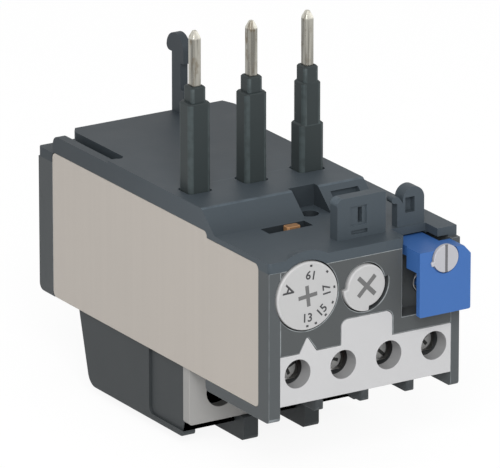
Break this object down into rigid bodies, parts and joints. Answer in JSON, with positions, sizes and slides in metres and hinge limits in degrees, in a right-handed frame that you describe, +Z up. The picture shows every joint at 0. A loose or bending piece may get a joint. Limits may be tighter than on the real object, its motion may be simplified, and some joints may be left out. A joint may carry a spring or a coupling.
{
  "type": "thermal overload relay",
  "caption": "Plug-in thermal overload relay with contact pins and a hook on top, a current dial, test knob and reset button in front, and screw terminals below.",
  "frame": {"origin": "centre of the bounding box seen from above, at the level of the lower ends of the barrier fins", "axes": "+X to the right seen from the front, +Y from the front panel to the rear, +Z up along the contact pins"},
  "size_m": [0.045, 0.095, 0.0867],
  "materials": {
    "housing_plastic": "fine-grained moulded thermoplastic, dark blue grey",
    "panel_plastic": "moulded thermoplastic, mid grey",
    "inner_plastic": "moulded thermoset, near black",
    "light_plastic": "moulded thermoplastic, light grey",
    "dial_plastic": "moulded thermoplastic, off-white",
    "label_film": "satin film label, warm beige",
    "reset_blue": "moulded thermoplastic, blue",
    "selector_white": "moulded thermoplastic, white",
    "flag_orange": "moulded thermoplastic, amber",
    "pin_metal": "tin-plated copper, drawn",
    "screw_steel": "zinc-plated steel",
    "clamp_steel": "zinc-plated pressed steel",
    "copper_bar": "rolled copper alloy",
    "bimetal": "rolled thermostatic bimetal",
    "heater_sleeve": "glass-fibre sleeve with resistance ribbon",
    "spring_steel": "spring wire"
  },
  "bodies": {
    "housing": {"aux_clamp_1": "clamp_steel", "aux_clamp_2": "clamp_steel", "aux_clamp_3": "clamp_steel", "aux_clamp_4": "clamp_steel", "aux_contact_bar_1": "copper_bar", "aux_contact_bar_2": "copper_bar", "aux_contact_bar_3": "copper_bar", "aux_contact_bar_4": "copper_bar", "aux_terminal_block": "housing_plastic", "aux_terminal_screws": "screw_steel", "base_housing": "housing_plastic", "contact_pin_1": "pin_metal", "contact_pin_2": "pin_metal", "contact_pin_3": "pin_metal", "front_panel": "panel_plastic", "heater_lead_1": "copper_bar", "heater_lead_2": "copper_bar", "heater_lead_3": "copper_bar", "load_bar_1": "copper_bar", "load_bar_2": "copper_bar", "load_bar_3": "copper_bar", "main_clamp_1": "clamp_steel", "main_clamp_2": "clamp_steel", "main_clamp_3": "clamp_steel", "main_terminal_screws": "screw_steel", "marking_plate": "light_plastic", "pin_sleeve_1": "housing_plastic", "pin_sleeve_2": "housing_plastic", "pin_sleeve_3": "housing_plastic", "pivot_pins": "screw_steel", "reset_spring": "spring_steel", "side_label": "label_film", "terminal_block": "housing_plastic", "terminal_face": "light_plastic", "top_cover": "housing_plastic"},
    "current_dial": {"current_dial": "dial_plastic", "dial_cam": "inner_plastic"},
    "adjusting_lever": {"adjusting_lever": "inner_plastic"},
    "test_knob": {"test_knob": "dial_plastic"},
    "reset_button": {"reset_button": "reset_blue"},
    "reset_selector": {"reset_selector": "selector_white"},
    "push_slide": {"push_slide": "inner_plastic"},
    "pull_slide": {"pull_slide": "inner_plastic", "differential_lever": "inner_plastic"},
    "trip_lever": {"trip_lever": "inner_plastic", "compensation_bimetal": "bimetal"},
    "trip_flag": {"trip_flag": "flag_orange"},
    "contact_carrier": {"contact_carrier": "inner_plastic", "normally_closed_bridge": "copper_bar", "normally_open_bridge": "copper_bar"},
    "bimetal_1": {"bimetal_strip_1": "bimetal", "heater_winding_1": "heater_sleeve"},
    "bimetal_2": {"bimetal_strip_2": "bimetal", "heater_winding_2": "heater_sleeve"},
    "bimetal_3": {"bimetal_strip_3": "bimetal", "heater_winding_3": "heater_sleeve"}
  },
  "joints": [
    {"name": "dial_turn", "type": "hinge", "parent": "housing", "child": "current_dial", "pos_m": [-0.0137, -0.04283, 0.0408], "axis": [0, 1, 0], "range_deg": [0, 180]},
    {"name": "adjusting_lever_swing", "type": "hinge", "parent": "housing", "child": "adjusting_lever", "pos_m": [-0.0075, -0.02243, 0.0408], "axis": [0, 0, 1], "range_deg": [0, 4.17]},
    {"name": "knob_turn", "type": "hinge", "parent": "housing", "child": "test_knob", "pos_m": [0, -0.04303, 0.0405], "axis": [0, -1, 0], "range_deg": [0, 90]},
    {"name": "reset_press", "type": "slide", "parent": "housing", "child": "reset_button", "axis": [0, 1, 0], "range_m": [0, 0.0022], "stiffness_N_per_m": 200, "springref_m": -0.002, "deforming": ["reset_spring"]},
    {"name": "selector_turn", "type": "hinge", "parent": "reset_button", "child": "reset_selector", "pos_m": [0.01595, -0.04702, 0.04467], "axis": [0, -1, 0], "range_deg": [0, 90]},
    {"name": "trip_travel", "type": "slide", "parent": "housing", "child": "push_slide", "axis": [1, 0, 0], "range_m": [0, 0.0015]},
    {"name": "pull_slide_travel", "type": "slide", "parent": "housing", "child": "pull_slide", "axis": [1, 0, 0], "range_m": [0, 0.0015]},
    {"name": "trip_lever_swing", "type": "hinge", "parent": "housing", "child": "trip_lever", "pos_m": [0.0188, 0.00158, 0.0461], "axis": [0, 0, -1], "range_deg": [0, 5.07]},
    {"name": "trip_flag_travel", "type": "slide", "parent": "housing", "child": "trip_flag", "axis": [-1, 0, 0], "range_m": [0, 0.00231]},
    {"name": "contact_travel", "type": "slide", "parent": "housing", "child": "contact_carrier", "axis": [0, 1, 0], "range_m": [0, 0.0012]},
    {"name": "bimetal_1_bend", "type": "hinge", "parent": "housing", "child": "bimetal_1", "pos_m": [-0.0173, 0.01307, 0.04805], "axis": [0, -1, 0], "range_deg": [0, 3.88]},
    {"name": "bimetal_2_bend", "type": "hinge", "parent": "housing", "child": "bimetal_2", "pos_m": [-0.004, 0.01307, 0.04805], "axis": [0, -1, 0], "range_deg": [0, 3.88]},
    {"name": "bimetal_3_bend", "type": "hinge", "parent": "housing", "child": "bimetal_3", "pos_m": [0.0093, 0.01307, 0.04805], "axis": [0, -1, 0], "range_deg": [0, 3.88]}
  ],
  "couplings": [
    {"joint": "adjusting_lever_swing", "follows": "dial_turn", "ratio": 0.023103},
    {"joint": "pull_slide_travel", "follows": "trip_travel", "ratio": 1},
    {"joint": "trip_lever_swing", "follows": "trip_travel", "rad_per_m": 58.824},
    {"joint": "trip_flag_travel", "follows": "trip_travel", "ratio": 1.5353},
    {"joint": "contact_travel", "follows": "trip_travel", "ratio": 0.8},
    {"joint": "bimetal_1_bend", "follows": "trip_travel", "rad_per_m": 45.045},
    {"joint": "bimetal_2_bend", "follows": "trip_travel", "rad_per_m": 45.045},
    {"joint": "bimetal_3_bend", "follows": "trip_travel", "rad_per_m": 45.045}
  ]
}
